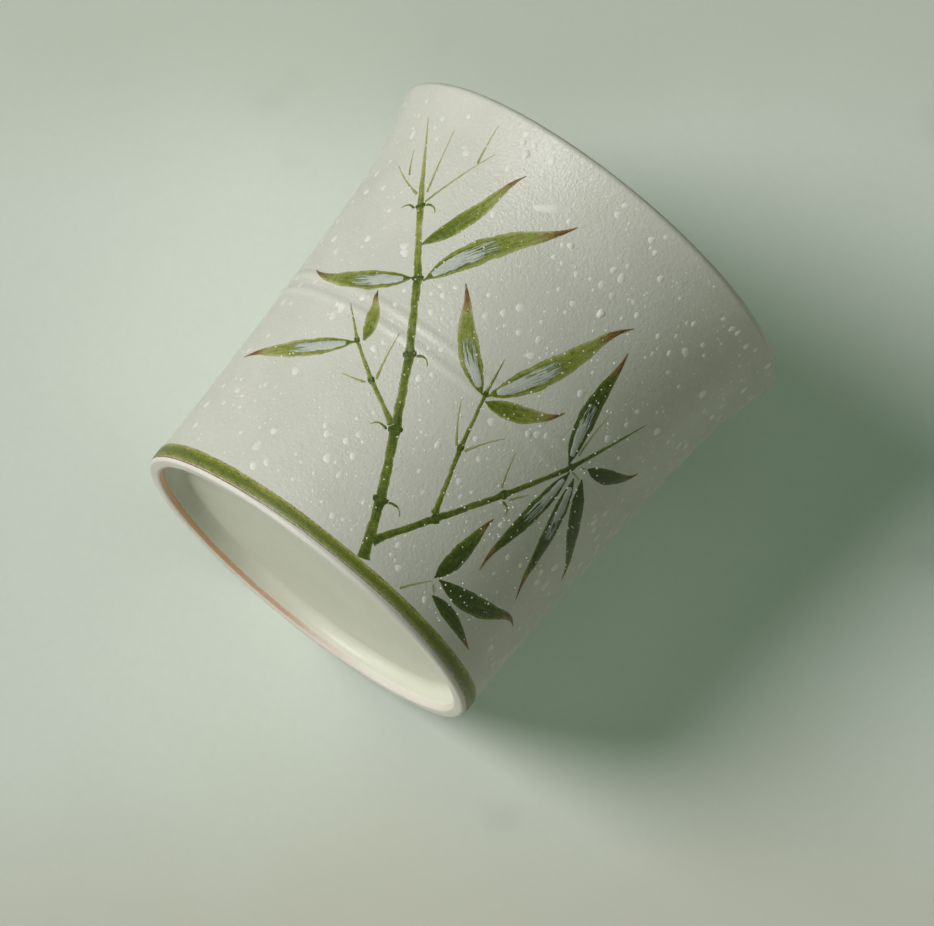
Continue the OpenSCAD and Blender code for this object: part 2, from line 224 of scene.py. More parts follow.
def arc(centre, r, start, end, n):
    """n + 1 points of an arc about a (radius, height) centre, between two angles in degrees."""
    angle = np.radians(np.linspace(start, end, n + 1))
    return np.stack([centre[0] + r * np.cos(angle), centre[1] + r * np.sin(angle)], -1)


# Material nodes

def srgb(red, green, blue):
    """The linear colour of display values from 0 to 255."""
    def linear(c):
        c /= 255
        return c / 12.92 if c <= 0.04045 else ((c + 0.055) / 1.055) ** 2.4
    return (linear(red), linear(green), linear(blue), 1.0)


class Shading:
    """Short ways to add nodes to one material or world."""

    def __init__(self, owner):
        owner.use_nodes = True
        self.tree = owner.node_tree
        self.tree.nodes.clear()

    def put(self, kind, inputs=(), out=0, **settings):
        """A node with its settings and its inputs, each a value or another node's output."""
        made = self.tree.nodes.new(kind)
        for key, value in settings.items():
            setattr(made, key, value)
        for key, value in dict(inputs).items():
            if isinstance(value, bpy.types.NodeSocket):
                self.tree.links.new(value, made.inputs[key])
            else:
                made.inputs[key].default_value = value
        return None if out is None else made.outputs[out]

    def math(self, operation, a, b=0.0):
        return self.put("ShaderNodeMath", {0: a, 1: b}, operation=operation)

    def scaled(self, vector, by):
        return self.put("ShaderNodeVectorMath", {0: vector, 1: by}, operation="MULTIPLY")

    def noise(self, vector, scale, detail, roughness, distortion=0.0):
        return self.put("ShaderNodeTexNoise", {
            "Vector": vector, "Scale": scale, "Detail": detail,
            "Roughness": roughness, "Distortion": distortion,
        })

    def spread(self, value, low, high, to_low=0.0, to_high=1.0, kind="SMOOTHSTEP"):
        """A value's run from low to high carried to another run, by default with soft ends."""
        return self.put("ShaderNodeMapRange", {
            "Value": value, "From Min": low, "From Max": high, "To Min": to_low, "To Max": to_high,
        }, interpolation_type=kind)

    def sway(self, noise, reach, low=0.3):
        """A noise made to run from -reach to reach."""
        return self.spread(noise, low, 1 - low, -reach, reach, "LINEAR")

    def mix(self, share, a, b, blend="MIX"):
        return self.put("ShaderNodeMix", {0: share, 6: a, 7: b}, 2, data_type="RGBA", blend_type=blend)

    def ramp(self, value, stops):
        made = self.tree.nodes.new("ShaderNodeValToRGB")
        elements = made.color_ramp.elements
        while len(elements) < len(stops):
            elements.new(0.5)
        for element, (place, colour) in zip(elements, stops):
            element.position, element.color = place, colour
        self.tree.links.new(value, made.inputs[0])
        return made.outputs[0]

    def attribute(self, name, out=2):
        return self.put("ShaderNodeAttribute", out=out, attribute_name=name)

    def places(self):
        """Object coordinates in millimetres."""
        return self.scaled(self.put("ShaderNodeTexCoord", out=3), (1 / MM,) * 3)

    def bump(self, height, depth, below=None):
        inputs = {"Height": height, "Distance": depth * MM}
        if below is not None:
            inputs["Normal"] = below
        return self.put("ShaderNodeBump", inputs)

    def surface(self, colour, roughness, gloss, **more):
        """A principled shader. Names of further inputs have _ for a space."""
        return self.put("ShaderNodeBsdfPrincipled", {
            "Base Color": colour, "Roughness": roughness, "Specular IOR Level": gloss,
            **{key.replace("_", " "): value for key, value in more.items()},
        })

    def end(self, shader, cover=None):
        """Ends in a shader, where cover is given only as far as it lets the shader be seen."""
        if cover is not None:
            clear = self.put("ShaderNodeBsdfTransparent")
            shader = self.put("ShaderNodeMixShader", {0: cover, 1: clear, 2: shader})
        self.put("ShaderNodeOutputMaterial", {"Surface": shader}, out=None)


def new_material(name):
    material = bpy.data.materials.new(name)
    return material, Shading(material)


# The glaze crawled most on one shoulder: its place, and how strong the folds are near it and far off
CRAWL_PLACE, CRAWL_NEAR, CRAWL_FAR = (-11.8, -31.4, 60.0), 5.0, 26.0
CRAWL_MOST, CRAWL_LEAST = 3.0, 1.5
FOLD_DEPTH, GRIT_DEPTH, PIT_DEPTH = 0.034, 0.023, 0.026
# The lip's brownish tint is thin glaze over clay, and also painted shade of the rounded lip's dark edge
SPECK, THIN_LIP_AND_SHADE = srgb(150, 138, 108), srgb(166, 158, 122)


def glaze(name, pale, deep, roughness, wrinkle, specks=True, rim=False):
    """Fired glaze or clay: two clouded tones, fine relief of so much wrinkle, and a few specks."""
    material, s = new_material(name)
    place = s.places()
    cloud = s.noise(place, 0.09, 3.0, 0.55)
    fine = s.noise(place, 2.4, 3.0, 0.6)
    colour = s.mix(s.spread(cloud, 0.35, 0.68), pale, deep)
    darker = tuple(c * 0.86 for c in deep[:3]) + (1,)
    colour = s.mix(s.spread(fine, 0.3, 0.75, 0.0, 0.22), colour, darker)
    if specks:
        dots = s.put("ShaderNodeTexVoronoi", {"Vector": place, "Scale": 0.42})
        colour = s.mix(s.spread(dots, 0.035, 0.06, 0.3, 0.0), colour, SPECK)
    if rim:
        # The glaze runs thin on the lip and lets a little of the brownish clay through. The tint is
        # also
        # painted shade: the dark edge where the rounded lip turns away from the light
        height = s.put("ShaderNodeSeparateXYZ", {0: place}, out=2)
        uneven = s.math("ADD", height, s.sway(cloud, 0.12))
        colour = s.mix(s.spread(uneven, CUP_H - 0.6, CUP_H - 0.1, 0.0, 0.7), colour, THIN_LIP_AND_SHADE)
    folds = s.noise(place, 1.45, 2.0, 0.5, 1.1)
    off = s.put("ShaderNodeVectorMath", {0: place, 1: CRAWL_PLACE}, out=1, operation="DISTANCE")
    folds = s.math("MULTIPLY", folds, s.spread(off, CRAWL_NEAR, CRAWL_FAR, CRAWL_MOST, CRAWL_LEAST))
    grit = s.noise(place, 4.6, 2.0, 0.5)
    pits = s.put("ShaderNodeTexVoronoi", {
        "Vector": place, "Scale": 2.0, "Smoothness": 0.7,
    }, feature="SMOOTH_F1")
    normal = s.bump(folds, FOLD_DEPTH * wrinkle)
    normal = s.bump(grit, GRIT_DEPTH * wrinkle, below=normal)
    normal = s.bump(pits, -PIT_DEPTH * wrinkle, below=normal)
    satiny = s.spread(fine, 0.25, 0.8, roughness - 0.06, roughness + 0.1)
    s.end(s.surface(colour, satiny, 0.42, Normal=normal))
    return material


satin = glaze("satin_glaze", (0.635, 0.645, 0.56, 1), (0.595, 0.605, 0.52, 1), 0.38, 1.0, rim=True)
inside_glaze = glaze("inside_glaze", (0.69, 0.69, 0.60, 1), (0.655, 0.655, 0.565, 1), 0.27, 0.35)
celadon = glaze(
    "celadon_glaze", (0.675, 0.69, 0.56, 1), (0.64, 0.655, 0.525, 1), 0.36, 0.3, specks=False,
)
porcelain = glaze("bare_porcelain", (0.75, 0.745, 0.665, 1), (0.70, 0.69, 0.61, 1), 0.55, 0.6)


PALE_MOTE = srgb(188, 184, 128)
BAND_MOTE, BAND_DARK = srgb(196, 190, 110), srgb(66, 78, 22)


def enamel(name, stops, soft, lift=0.0, dry=0.3, opaque=1.0, roughness=0.4, mote=0.4,
           fine=3.2, ragged=0.05):
    """Brushed enamel over the glaze: colour from the stroke's tone and streaks, bare where it ran dry.

    soft is where across the stroke its edge starts to thin out, and ragged how far streaks break the
    edge. lift makes all tones paler, dry is how far streaks break the fading ends, mote how strong the
    pale specks are, and fine how closely the streaks lie.
    """
    material, s = new_material(name)
    brush = s.attribute("brush", 1)
    edge, tone, fade = (s.attribute(key) for key in ("edge", "tone", "fade"))
    streak = s.noise(s.scaled(brush, (0.30, fine, 1.0)), 1.0, 4.0, 0.6)
    grain = s.noise(brush, 5.2, 2.0, 0.6)
    flecks = s.noise(brush, 1.5, 2.0, 0.55)
    value = s.math("ADD", tone, lift)
    value = s.math("ADD", value, s.sway(streak, 0.15))
    value = s.math("ADD", value, s.sway(grain, 0.15))
    value = s.math("ADD", value, s.sway(flecks, 0.16))
    value = s.math("ADD", value, s.spread(edge, 0.45, 1.0, 0.0, 0.42))
    colour = s.ramp(value, stops)
    motes = s.put("ShaderNodeTexVoronoi", {"Vector": brush, "Scale": 2.8})
    colour = s.mix(s.spread(motes, 0.06, 0.15, mote, 0.0), colour, PALE_MOTE)
    rim = s.math("ADD", edge, s.sway(streak, ragged))
    rim = s.math("ADD", rim, s.sway(flecks, 0.05))
    cover = s.spread(rim, soft, 1.0, 1.0, 0.0)
    laid = s.math("ADD", fade, s.sway(streak, dry))
    cover = s.math("MULTIPLY", cover, s.spread(laid, 0.12, 0.62))
    cover = s.math("MULTIPLY", cover, s.spread(value, 0.55, 1.15, opaque, opaque * 0.62))
    normal = s.bump(streak, 0.02)
    normal = s.bump(grain, 0.012, below=normal)
    s.end(s.surface(colour, roughness, 0.26, Normal=normal), cover)
    return material


DEEP, MID = srgb(52, 68, 10), srgb(98, 113, 34)
FRESH, THIN = srgb(142, 150, 70), srgb(184, 182, 122)
GREENS = [(0.0, DEEP), (0.4, MID), (0.72, FRESH), (1.0, THIN)]
green = enamel("green_enamel", GREENS, soft=0.7)
dark_green = enamel(
    "dark_green_enamel", GREENS, lift=-0.12, dry=0.4, soft=0.35, ragged=0.16, mote=0.3,
)
leaf_green = enamel("leaf_enamel", GREENS, dry=0.3, soft=0.84)
twig_green = enamel("pale_green_enamel", [
    (0.0, srgb(112, 122, 50)), (0.5, srgb(160, 162, 94)), (1.0, srgb(194, 190, 140)),
], dry=0.4, soft=0.4, mote=0.2)
tip_brown = enamel("brown_enamel", [
    (0.0, srgb(84, 60, 28)), (0.5, srgb(140, 110, 60)), (1.0, srgb(162, 152, 86)),
], dry=0.45, soft=0.6, mote=0.25)
pale_blue = enamel("pale_blue_enamel", [
    (0.0, srgb(84, 104, 60)), (0.35, srgb(132, 150, 122)),
    (0.62, srgb(182, 193, 180)), (0.9, srgb(214, 218, 208)),
], dry=0.75, opaque=0.96, roughness=0.34, mote=0.0, soft=0.6, fine=4.2, ragged=0.3)


def ring_enamel(name, stops, soft, rough_edge=0.16, dry_low=0.0, thin=0.0, mote=0.0, painted_glow=0.0):
    """Enamel laid round the turning cup: along is the way round, up runs from 0 to 1 over the line.

    soft is the share of the line that its thin edges take, rough_edge how far the grain breaks them,
    thin how much enamel stays in the dry patches, and dry_low how common those are. The glow is an
    even emission in the enamel's colour: painted light, standing in for light through thin porcelain.
    """
    material, s = new_material(name)
    along, up = s.attribute("brush", 1), s.attribute("up")
    streak = s.noise(s.scaled(along, (0.12, 2.6, 1.0)), 1.0, 4.0, 0.62)
    grain = s.noise(along, 5.0, 2.0, 0.6)
    value = s.math("ADD", up, s.sway(streak, 0.16, low=0.25))
    value = s.math("ADD", value, s.sway(grain, 0.13))
    colour = s.ramp(value, stops)
    if mote:
        motes = s.put("ShaderNodeTexVoronoi", {"Vector": along, "Scale": 2.3})
        colour = s.mix(s.spread(motes, 0.08, 0.17, mote, 0.0), colour, BAND_MOTE)
        dark = s.noise(s.scaled(along, (0.9, 1.6, 0.9)), 1.0, 3.0, 0.65)
        colour = s.mix(s.spread(dark, 0.52, 0.72, 0.0, 0.6), colour, BAND_DARK)
    edge = s.math("ABSOLUTE", s.math("SUBTRACT", s.math("MULTIPLY", up, 2.0), 1.0))
    edge = s.math("ADD", edge, s.sway(grain, rough_edge, low=0.2))
    cover = s.math("MULTIPLY", s.spread(edge, 1 - soft, 1.0, 1.0, 0.0), s.attribute("fade"))
    patchy = s.noise(s.scaled(along, (0.35, 0.5, 1.0)), 1.0, 3.0, 0.6)
    cover = s.math("MULTIPLY", cover, s.spread(patchy, dry_low, dry_low + 0.22, thin, 1.0))
    normal = s.bump(streak, 0.04)
    normal = s.bump(grain, 0.02, below=normal)
    # The emission is painted light: an even glow in the enamel's colour, for light through the
    # porcelain
    paint = s.surface(colour, 0.42, 0.32, Normal=normal, Emission_Color=colour, Emission_Strength=painted_glow)
    s.end(paint, cover)
    return material


# Partly painted highlight: the paler greyish tones low on the band stand for the sheen on its rounded
# relief, as well as thin enamel at its edge
band_green = ring_enamel("band_enamel", [
    (0.0, srgb(146, 146, 92)), (0.18, srgb(118, 128, 60)), (0.42, srgb(90, 102, 34)),
    (0.66, srgb(108, 118, 38)), (0.84, srgb(150, 152, 66)), (1.0, srgb(192, 188, 128)),
], mote=0.6, soft=0.22)
line_brown = ring_enamel("line_enamel", [
    (0.0, srgb(168, 138, 88)), (0.5, srgb(146, 112, 62)), (1.0, srgb(150, 130, 78)),
], rough_edge=0.3, dry_low=0.3, thin=0.35, soft=0.8)
# The iron line's pale tones and its glow are partly painted light, standing in for light that shines
# through the thin porcelain of the foot ring; its brown is its own
iron_brown_and_glow = ring_enamel("iron_line", [
    (0.0, srgb(206, 174, 138)), (0.5, srgb(196, 146, 102)), (1.0, srgb(200, 172, 138)),
], rough_edge=0.2, dry_low=0.2, thin=0.6, soft=0.85, painted_glow=0.16)


def water():
    """Drops in the glaze's own tone, a little paler, with a soft wet gleam. The paler tone and a faint
    glow are painted light, standing in for the light that clear water gathers.
    """
    material, s = new_material("water")
    mist = s.noise(s.places(), 0.35, 2.0, 0.5)
    tint = s.mix(s.spread(mist, 0.35, 0.65), (0.655, 0.655, 0.575, 1), (0.72, 0.72, 0.64, 1))
    # The emission is painted light: a faint glow for the light that the drops gather
    s.end(s.surface(tint, 0.36, 0.3, IOR=1.333,
                    Emission_Color=(1.0, 1.0, 0.93, 1), Emission_Strength=0.045))
    return material


# Clay and glaze, turned round the axis

def wall_heights(n, ridge_n):
    """Heights up the wall, closer together over the double ridge."""
    ridge_low = RIDGE_Z - RIDGE_PITCH / 2 - RIDGE_H / 2
    ridge_top = RIDGE_Z + RIDGE_PITCH / 2 + RIDGE_H / 2
    lower = np.linspace(FOOT_ROUND, ridge_low, n, endpoint=False)
    over = np.linspace(ridge_low, ridge_top, ridge_n, endpoint=False)
    return np.concatenate([lower, over, np.linspace(ridge_top, LIP_Z, n)])


def outside(depth, zs):
    """Points of the wall's outer line at these heights, so deep under it."""
    tilt = lean(zs)
    return np.stack([wall_r(zs) - depth * np.cos(tilt), zs + depth * np.sin(tilt)], -1)


def inside(depth, zs):
    """Points of the wall's inner line, so deep under its glaze."""
    share = (zs - BEND_Z) / (LIP_Z - BEND_Z)
    sink = WALL_BASE_T + (LIP_T - WALL_BASE_T) * share - depth
    tilt = lean(zs)
    return np.stack([plain_r(zs) - sink * np.cos(tilt), zs + sink * np.sin(tilt)], -1)


# How many columns of points go round each turned coat and each painted ring
OUTER_COLS, PLAIN_COLS, RING_COLS, IRON_COLS = 360, 288, 720, 540

bend_tilt = float(lean(BEND_Z))
BEND_CENTRE = np.array([
    float(plain_r(BEND_Z)) - (WALL_BASE_T + INNER_BEND_R) * math.cos(bend_tilt),
    BEND_Z + (WALL_BASE_T + INNER_BEND_R) * math.sin(bend_tilt),
])
RECESS_CENTRE = (RING_IN_R - RECESS_BEND_R, RECESS_DEPTH - RECESS_BEND_R)
lip_degrees, bend_degrees = math.degrees(LIP_LEAN), math.degrees(bend_tilt)
fine_zs, few_zs = wall_heights(72, 60), wall_heights(20, 12)
inner_zs = np.linspace(BEND_Z, LIP_Z, 60)
floor_line = BEND_CENTRE[1] - INNER_BEND_R

revolve("outer_coat", np.concatenate([
    outside(0, fine_zs),
    arc(LIP_CENTRE, LIP_R, -lip_degrees, 90, 12)[1:],
    arc(LIP_CENTRE, LIP_R - GLAZE_T, 90, -lip_degrees, 6),
    outside(GLAZE_T, few_zs)[::-1],
]), OUTER_COLS, satin, ["outer_glaze"], uneven=True)

revolve("inner_coat", np.concatenate([
    arc(LIP_CENTRE, LIP_R, 90, 180 - lip_degrees, 10),
    inside(0, inner_zs)[::-1][1:],
    arc(BEND_CENTRE, INNER_BEND_R, -bend_degrees, -90, 16)[1:],
    np.stack([np.linspace(BEND_CENTRE[0], 0, 8), np.full(8, floor_line)], -1)[1:],
    [[0, floor_line - GLAZE_T]],
    arc(BEND_CENTRE, INNER_BEND_R + GLAZE_T, -90, -bend_degrees, 8),
    inside(GLAZE_T, inner_zs[::6])[1:],
    arc(LIP_CENTRE, LIP_R - GLAZE_T, 180 - lip_degrees, 90, 6)[1:],
]), PLAIN_COLS, inside_glaze, ["inner_glaze"])

revolve("base_coat", np.concatenate([
    np.stack([np.linspace(0, RECESS_CENTRE[0], 10), np.full(10, RECESS_DEPTH)], -1),
    arc(RECESS_CENTRE, RECESS_BEND_R, 90, 0, 14)[1:],
    [[RING_IN_R, RING_EDGE + IRON_H]],
    [[RING_IN_R + GLAZE_T, RING_EDGE + IRON_H]],
    arc(RECESS_CENTRE, RECESS_BEND_R + GLAZE_T, 0, 90, 8),
    [[0, RECESS_DEPTH + GLAZE_T]],
]), PLAIN_COLS, celadon, ["base_glaze"])

revolve("clay_body", np.concatenate([
    arc((RING_IN_R + RING_EDGE, RING_EDGE), RING_EDGE, 180, 270, 12),
    np.stack([np.linspace(RING_IN_R + RING_EDGE, RING_OUT_R, 4), np.zeros(4)], -1)[1:-1],
    arc((float(wall_r(FOOT_ROUND)) - FOOT_ROUND, FOOT_ROUND), FOOT_ROUND, -90, 0, 10),
    outside(GLAZE_T, few_zs),
    arc(LIP_CENTRE, LIP_R - GLAZE_T, -lip_degrees, 180 - lip_degrees, 8)[1:],
    inside(GLAZE_T, inner_zs[::6])[::-1][1:],
    arc(BEND_CENTRE, INNER_BEND_R + GLAZE_T, -bend_degrees, -90, 8)[1:],
    [[0, floor_line - GLAZE_T], [0, RECESS_DEPTH + GLAZE_T]],
    arc(RECESS_CENTRE, RECESS_BEND_R + GLAZE_T, 90, 0, 8),
    [[RING_IN_R + GLAZE_T, RING_EDGE + IRON_H], [RING_IN_R, RING_EDGE + IRON_H]],
]), PLAIN_COLS, porcelain, ["cup_body"])


# Painted rings

# How far the lower edge of the brushed band strays from its mean height at a turn
BAND_STRAY = (
    (-180, 0.0), (-110, -0.12), (-90, -0.2), (-60, -0.18), (-45, -0.12), (-30, 0.02), (-10, 0.26),
    (20, 0.3), (45, 0.14), (70, 0.0), (95, -0.06), (140, 0.05), (180, 0.0),
)
# How fully the brown lines are laid at a turn. The iron line is strongest on the photograph's far side
LINE_LAID = ((-180, 0.7), (-95, 0.95), (-40, 0.9), (0, 0.6), (60, 0.5), (120, 0.7), (180, 0.7))
IRON_LAID = (
    (-180, 0.5), (-150, 0.78), (-125, 0.9), (-100, 0.95), (-60, 0.7), (0, 0.5), (60, 0.3),
    (110, 0.06), (150, 0.06), (172, 0.3), (180, 0.5),
)
# How far a painted edge is let into the glaze, and how deep the underside lies in it
LET_IN, RING_UNDER, STROKE_UNDER = 0.012, 0.08, 0.07
IRON_LOW, IRON_T, IRON_LET_IN, IRON_UNDER = 0.14, 0.03, 0.005, 0.06
# The circles that the two kinds of ring lie on in their materials
BAND_CIRCLE, IRON_CIRCLE = 30, 27


def wave_round(turns, seed):
    """A seeded wander that meets itself after a full turn."""
    draw = random.Random(seed)
    t = np.radians(turns)
    total = 0
    for pace in (2, 5, 9, 17, 31, 58):
        total = total + np.sin(pace * t + 2 * np.pi * draw.random()) / pace ** 0.45
    return total / 1.6


def ring_places(t, r, rounds, height):
    """Where a ring's points lie in its material: on a circle, so that it meets itself, and up it."""
    return np.stack(np.broadcast_arrays(
        r * np.sin(t), rounds[:, None] * height, r * np.cos(t),
    ), -1).reshape(-1, 3)


def painted_ring(name, low, high, thick, wander, seed, material,
                 rows=9, both_stray=False, laid=None):
    """A ring of enamel on the wall whose two edges wander a little, domed and let in at its edges."""
    turns = turns_round(RING_COLS)
    stray = along_table(turns, BAND_STRAY)
    low_z = low + stray + wander[0] * wave_round(turns, seed)
    high_z = high + wander[1] * wave_round(turns, seed + 1)
    if both_stray:
        high_z = high_z + stray
    up = np.linspace(0, 1, rows)
    z = low_z + (high_z - low_z) * up[:, None]
    below = np.clip(FOOT_ROUND - z, 0, FOOT_ROUND)
    round_in = FOOT_ROUND - np.sqrt(FOOT_ROUND ** 2 - below ** 2)
    rise = thick * (1 - np.abs(2 * up - 1) ** 4)[:, None] - LET_IN - round_in
    top = skin(turns, z, rise)
    under = skin(turns, z, -RING_UNDER - round_in)[::-1]
    rounds = np.concatenate([up, up[::-1]])
    fade = np.ones(RING_COLS) if laid is None else along_table(turns, laid)
    make_piece(
        name, np.concatenate([top, under]).reshape(-1, 3), ring_faces(2 * rows, RING_COLS),
        material, [name], data={
            "brush": ring_places(np.radians(turns), BAND_CIRCLE, rounds, high - low),
            "up": np.repeat(rounds, RING_COLS), "fade": np.tile(fade, 2 * rows),
        },
    )


painted_ring("foot_band", LINE_TOP - 0.05, BAND_TOP, ENAMEL_T, (0.02, 0.07), 11,
             band_green)
painted_ring("band_line", FOOT_ROUND + 0.02, LINE_TOP + 0.02, 0.06, (0.05, 0.03), 21,
             line_brown, rows=5, both_stray=True, laid=LINE_LAID)


def inner_line():
    """The brown line on the inner edge of the foot ring."""
    cols, rows = IRON_COLS, 11
    turns = turns_round(cols)
    up = np.linspace(0, 1, rows)
    low = IRON_LOW + 0.05 * wave_round(turns, 31)
    high = RING_EDGE + IRON_H + 0.08 * wave_round(turns, 32)
    z = low + (high - low) * up[:, None]
    below = np.clip(RING_EDGE - z, 0, RING_EDGE)
    edge_r = RING_IN_R + RING_EDGE - np.sqrt(np.clip(RING_EDGE ** 2 - below ** 2, 0, None))
    rise = IRON_T * (1 - np.abs(2 * up - 1) ** 4)[:, None] - IRON_LET_IN
    t = np.radians(turns)
    # The iron lies thickest on the rounded edge and thins out up the wall of the recess
    heights = np.interp(z, (0.0, 0.45, 1.2, 1.4), (0.0, 0.5, 0.97, 1.0))

    def sheet(r):
        return np.stack([r * np.sin(t), -r * np.cos(t), z], -1)

    verts = np.concatenate([sheet(edge_r - rise), sheet(edge_r + IRON_UNDER)[::-1]]).reshape(-1, 3)
    rounds = np.concatenate([up, up[::-1]])
    make_piece(
        "iron_line", verts, ring_faces(2 * rows, cols, flip=True), iron_brown_and_glow,
        ["iron_line"], data={
            "brush": ring_places(t, IRON_CIRCLE, rounds, RING_EDGE + IRON_H),
            "up": np.concatenate([heights, heights[::-1]]).ravel(),
            "fade": np.tile(along_table(turns, IRON_LAID), 2 * rows),
        },
    )


inner_line()


# Brush strokes. A place is a turn in degrees and a share of the cup's height, as in the CAD source.

# Widths at the root of each kind of stroke and at fine points, and the share of them at a last joint
CULM_W, SIDE_W, SHOOT_W, HOOK_W, TWIG_W, FINE_W = 1.9, 1.35, 1.0, 0.5, 0.5, 0.16
LEAF_W, STEM_W, JOINT_H = 4.0, 0.4, 0.6
CULM_THIN, SHOOT_THIN = 0.68, 0.6
MAIN = [(7, 0.055), (1, 0.165), (-8, 0.30), (-18, 0.445), (-30, 0.59), (-44, 0.73), (-62, 0.92)]
SIDE = [(7, 0.10), (16, 0.21), (27, 0.345), (38, 0.49), (49, 0.68)]
UPRIGHT = [(14.5, 0.228), (9, 0.355), (5, 0.475), (3, 0.56)]
LEFT = [(-11, 0.31), (-22, 0.355), (-33, 0.41), (-43, 0.475)]
# Hooks as (start, end, bow), twigs as (start, end), leaves as (base, tip, bow, curl, share of LEAF_W)
HOOKS = [
    ((3.6, 0.1738), (8, 0.163), 0.22), ((-10.5, 0.291), (-14.6, 0.278), -0.22),
    ((-15.8, 0.454), (-12, 0.446), 0.25), ((-42.2, 0.7395), (-38.3, 0.728), 0.22),
    ((-45.9, 0.721), (-49.8, 0.707), -0.22), ((28.7, 0.3355), (31.6, 0.317), 0.22),
]
TWIGS = [
    ((-43.2, 0.75), (-33, 0.90)), ((-36.3, 0.868), (-36.5, 0.955)), ((-45.3, 0.769), (-49, 0.91)),
    ((-48.4, 0.752), (-63, 0.80)), ((-55.5, 0.786), (-60.5, 0.845)), ((-21.3, 0.367), (-24, 0.475)),
    ((-23.3, 0.345), (-31, 0.335)), ((10.5, 0.36), (17, 0.435)), ((7.4, 0.358), (0.5, 0.44)),
    ((25.2, 0.356), (21.8, 0.43)), ((29.6, 0.348), (33.4, 0.385)), ((37.4, 0.525), (36.5, 0.64)),
    ((21, 0.055), (27.4, 0.114)), ((28, 0.108), (30, 0.094)), ((39.6, 0.487), (43.8, 0.4872)),
    ((40.5, 0.505), (43, 0.516)),
]
CROWN = [
    ((-27.8, 0.60), (-2, 0.86), 0.07, 0.05, 1.0), ((-32.2, 0.581), (-66, 0.505), 0.08, -0.05, 0.85),
    ((-35.2, 0.661), (-24, 0.90), -0.05, -0.06, 0.7),
]
MIDDLE = [
    ((6.2, 0.482), (22, 0.80), -0.05, -0.07, 1.0), ((3.7, 0.474), (-17, 0.645), 0.08, 0.05, 0.85),
    ((6.7, 0.465), (26, 0.555), -0.07, 0.05, 0.7),
]
HANGING = [
    ((38.8, 0.475), (34.5, 0.20), 0.03, 0.06, 0.74), ((41.8, 0.474), (54, 0.215), 0.03, 0.06, 0.74),
    ((44.5, 0.488), (72, 0.345), -0.06, -0.06, 0.72),
    ((36.4, 0.498), (29.5, 0.75), 0.07, 0.05, 0.85),
    ((43.6, 0.518), (62, 0.60), -0.06, 0.05, 0.6),
]
LEFT_LEAVES = [
    ((-34.3, 0.402), (-72, 0.29), 0.07, 0.04, 0.8),
    ((-31.6, 0.421), (-38.6, 0.525), -0.07, -0.04, 0.55),
]
LOW = [
    ((27.1, 0.124), (28.5, 0.298), -0.04, -0.05, 0.75),
    ((29.6, 0.124), (64, 0.215), -0.07, -0.12, 0.8),
    ((30.6, 0.09), (54, 0.07), 0.03, 0.02, 0.5),
]


def flat_place(place, face):
    """A place on the wall as seen flat by someone who faces the wall at that turn: (across, height)."""
    z = place[1] * CUP_H
    return np.array([float(wall_r(z)) * math.sin(math.radians(place[0] - face)), z])


def middle_line(a, b, bow, curl, s):
    """A stroke's middle line at shares s of its way: bowed all along, and curled at its end."""
    s = np.asarray(s, float)[:, None]
    across = np.array([-(b - a)[1], (b - a)[0]])
    curled = np.clip((s - 0.75) / 0.25, 0, None) ** 2
    return a + (b - a) * s + across * (4 * bow * s * (1 - s) + curl * curled)


# The half-millimetre squares of the wall that strokes cover
INKED = set()
SQUARES_PER_DEGREE, SQUARES_PER_MM = 1.1, 2


def cell(turn, z):
    """The half-millimetre square that a place lies in."""
    return int(math.floor(turn * SQUARES_PER_DEGREE)), int(math.floor(z * SQUARES_PER_MM))


# A stroke's mesh: the pitch of its rows, the run over which an end rounds off, the least half width
ROW_PITCH, END_ROUNDING, LEAST_HALF = 0.35, 0.25, 0.03


